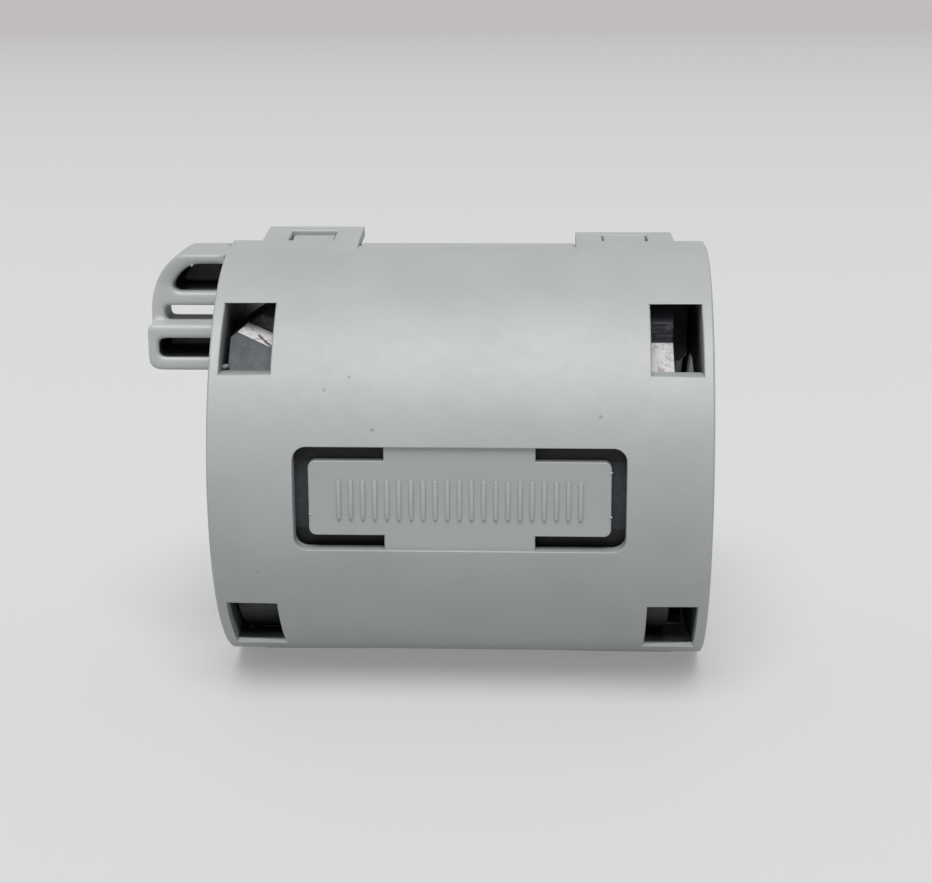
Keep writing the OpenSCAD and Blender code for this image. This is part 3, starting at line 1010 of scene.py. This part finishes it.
class BEAD_OT_flash_nibs(bpy.types.Operator):
    """Leave small nibs of flash on the spring plate and the tie holder, and a crumb in a window"""

    bl_idname = "bead.flash_nibs"
    bl_label = "Flash nibs"

    def execute(self, context):
        first = self.nib(context.scene.bead_sizes.nib)
        nibs = [
            moved_copy(
                first,
                Matrix.Translation(Vector(place) * MM)
                @ Matrix.Rotation(radians(turn), 4, "Y")
                @ Matrix.Scale(factor, 4),
            )
            for place, turn, factor in NIBS
        ]
        bpy.data.objects.remove(first)
        finish_piece(join(nibs), "case_plastic", "front_half", grey_plastic)
        return {"FINISHED"}

    def nib(self, size):
        """One crooked nib that points up from the origin."""
        bpy.ops.object.select_all(action="DESELECT")
        bpy.ops.mesh.primitive_cone_add(
            vertices=NIB_POINTS, radius1=size, radius2=size / NIB_TAPER, depth=NIB_LENGTH * size
        )
        nib = bpy.context.object
        nib.name = "flash_nibs"
        edit(
            nib,
            choose(nib, lambda place: place.z > 0),
            lambda: bpy.ops.transform.translate(value=NIB_LEAN * size),
            lambda: bpy.ops.mesh.select_all(action="SELECT"),
            lambda: bpy.ops.mesh.subdivide(number_cuts=2, smoothness=0.6),
            lambda: bpy.ops.mesh.faces_shade_smooth(),
        )
        return nib


class BEAD_OT_core_halves(bpy.types.Operator):
    """Finish the two halves of the ferrite sleeve"""

    bl_idname = "bead.core_halves"
    bl_label = "Core halves"

    def execute(self, context):
        sizes = context.scene.bead_sizes
        for node, body in (("front_core_half", "front_half"), ("back_core_half", "back_half")):
            piece = copy_of(node, node + "_ferrite")
            if body == "front_half":
                for face in piece.data.polygons:
                    face.material_index = self.break_kind(face)
            round_edges(piece, sizes.core_edge, material=EDGE_SLOT)
            smooth(piece)
            finish_piece(
                piece, "ferrite", body,
                ferrite_skin, ferrite_break_lit, ferrite_break_shaded, ferrite_edge,
            )
            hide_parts(node)
        return {"FINISHED"}

    def break_kind(self, face):
        """The material slot of a face: the skin's, or the lit or the shaded copy of a break, as
        painted light and shade.
        """
        middle = face.center
        far_out = hypot(middle.y, middle.z) > BREAK_RADIUS
        if not far_out or middle.y > BREAK_OFF_SEAM or abs(face.normal.x) > END_FACING:
            return SKIN_SLOT
        if hypot(*face.normal.yz) > SIDE_FACING and face.normal.dot(radial(middle)) > ROUND_FIT:
            return SKIN_SLOT
        bright = face.normal.z > LIT_FACING and middle.z < LIT_TOP
        return LIT_BREAK_SLOT if bright else SHADED_BREAK_SLOT


class BEAD_OT_hinge_films(bpy.types.Operator):
    """Make the two film hinges, thin at their fold"""

    bl_idname = "bead.hinge_films"
    bl_label = "Hinge films"

    def execute(self, context):
        sizes = context.scene.bead_sizes
        for node in ("hinge_web_left", "hinge_web_right"):
            low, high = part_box(node)
            middle = (low + high) / 2
            bpy.ops.object.select_all(action="DESELECT")
            bpy.ops.mesh.primitive_cube_add(size=1, location=middle, scale=high - low)
            film = bpy.context.object
            film.name = node.replace("web", "film")
            bpy.ops.object.transform_apply(location=True, scale=True)
            edit(film, lambda: bpy.ops.mesh.subdivide(number_cuts=FILM_CUTS))
            thinner = (1, 1, sizes.film_waist ** (1 / len(FOLD_BANDS)))
            for reach in FOLD_BANDS:
                edit(
                    film,
                    choose(film, lambda place: abs(place.y - middle.y) < reach),
                    lambda: bpy.ops.transform.resize(value=thinner, center_override=middle),
                )
            edit(film, lambda: bpy.ops.mesh.faces_shade_smooth())
            film.data.materials.append(material(grey_plastic))
            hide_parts(node)
            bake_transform(film)
        return {"FINISHED"}


class BEAD_OT_stage(bpy.types.Operator):
    """Set up the floor, the light and the camera"""

    bl_idname = "bead.stage"
    bl_label = "Stage"

    def execute(self, context):
        stage = context.scene.bead_stage
        self.floor(stage)
        self.light(stage)
        self.camera(stage)
        context.scene.view_settings.view_transform = "Standard"
        return {"FINISHED"}

    def floor(self, stage):
        """A round floor that reaches past the view on every side."""
        bpy.ops.object.select_all(action="DESELECT")
        bpy.ops.mesh.primitive_circle_add(
            vertices=FLOOR_POINTS, radius=stage.floor_reach, fill_type="NGON",
            location=(0, 0, CAD_LOW.z),
        )
        floor = bpy.context.object
        floor.name = "floor"
        bpy.ops.object.transform_apply(location=True)
        floor.data.materials.append(material(pale_floor))

    def light(self, stage):
        """A broad lamp high in front and a world that is dimmer in front than behind."""
        lamp = bpy.data.lights.new("soft_lamp", "SUN")
        lamp.energy = stage.lamp_strength
        lamp.angle = stage.lamp_spread
        soft = bpy.data.objects.new("soft_lamp", lamp)
        bpy.context.scene.collection.objects.link(soft)
        soft.rotation_euler = (pi / 2 - stage.lamp_height, 0.0, 0.0)
        world = bpy.data.worlds.new("studio")
        bpy.context.scene.world = world
        world.use_nodes = True
        sky = Sky(world)
        front_to_rear = sky.direction("Y").rise(*REAR_FILL_EDGE)
        fill = stage.front_fill + front_to_rear * (stage.rear_fill - stage.front_fill)
        seen = sky.seen()
        sky.feed(sky.background.inputs["Strength"], seen * stage.backdrop + (1.0 - seen) * fill)

    def camera(self, stage):
        """The camera in front of the case, a little above it."""
        data = bpy.data.cameras.new("camera")
        data.sensor_width = SENSOR_WIDTH
        data.lens = stage.lens
        data.clip_start = NEAREST_SEEN
        camera = bpy.data.objects.new("camera", data)
        bpy.context.scene.collection.objects.link(camera)
        camera.matrix_world = (
            Matrix.Translation(stage.camera_place)
            @ Matrix.Rotation(stage.camera_turn, 4, "Z")
            @ Matrix.Rotation(pi / 2 - stage.camera_dip, 4, "X")
            @ Matrix.Rotation(-stage.camera_roll, 4, "Z")
        )
        bpy.context.scene.camera = camera


class BEAD_PT_panel(bpy.types.Panel):
    """Buttons for the pieces of the bead"""

    bl_idname = "BEAD_PT_panel"
    bl_label = "Ferrite Bead"
    bl_space_type = "VIEW_3D"
    bl_region_type = "UI"
    bl_category = "Ferrite Bead"

    def draw(self, context):
        for operator in OPERATORS:
            self.layout.operator(operator.bl_idname)


OPERATORS = (
    BEAD_OT_stage,
    BEAD_OT_case_halves,
    BEAD_OT_plate_ribs,
    BEAD_OT_flash_nibs,
    BEAD_OT_core_halves,
    BEAD_OT_hinge_films,
)
GROUPS = {"bead_sizes": BeadSizes, "bead_colours": BeadColours, "bead_stage": BeadStage}


def register():
    """Registers the properties, the operators and the panel."""
    for group in GROUPS.values():
        bpy.utils.register_class(group)
    for operator in OPERATORS + (BEAD_PT_panel,):
        bpy.utils.register_class(operator)
    for name, group in GROUPS.items():
        setattr(bpy.types.Scene, name, bpy.props.PointerProperty(type=group))


def unregister():
    """Takes back what register did."""
    for name in GROUPS:
        delattr(bpy.types.Scene, name)
    for operator in reversed(OPERATORS + (BEAD_PT_panel,)):
        bpy.utils.unregister_class(operator)
    for group in GROUPS.values():
        bpy.utils.unregister_class(group)


def main():
    """Finishes the whole part."""
    register()
    bpy.ops.bead.stage()
    bpy.ops.bead.case_halves()
    bpy.ops.bead.plate_ribs()
    bpy.ops.bead.flash_nibs()
    bpy.ops.bead.core_halves()
    bpy.ops.bead.hinge_films()


if __name__ == "__main__":
    main()
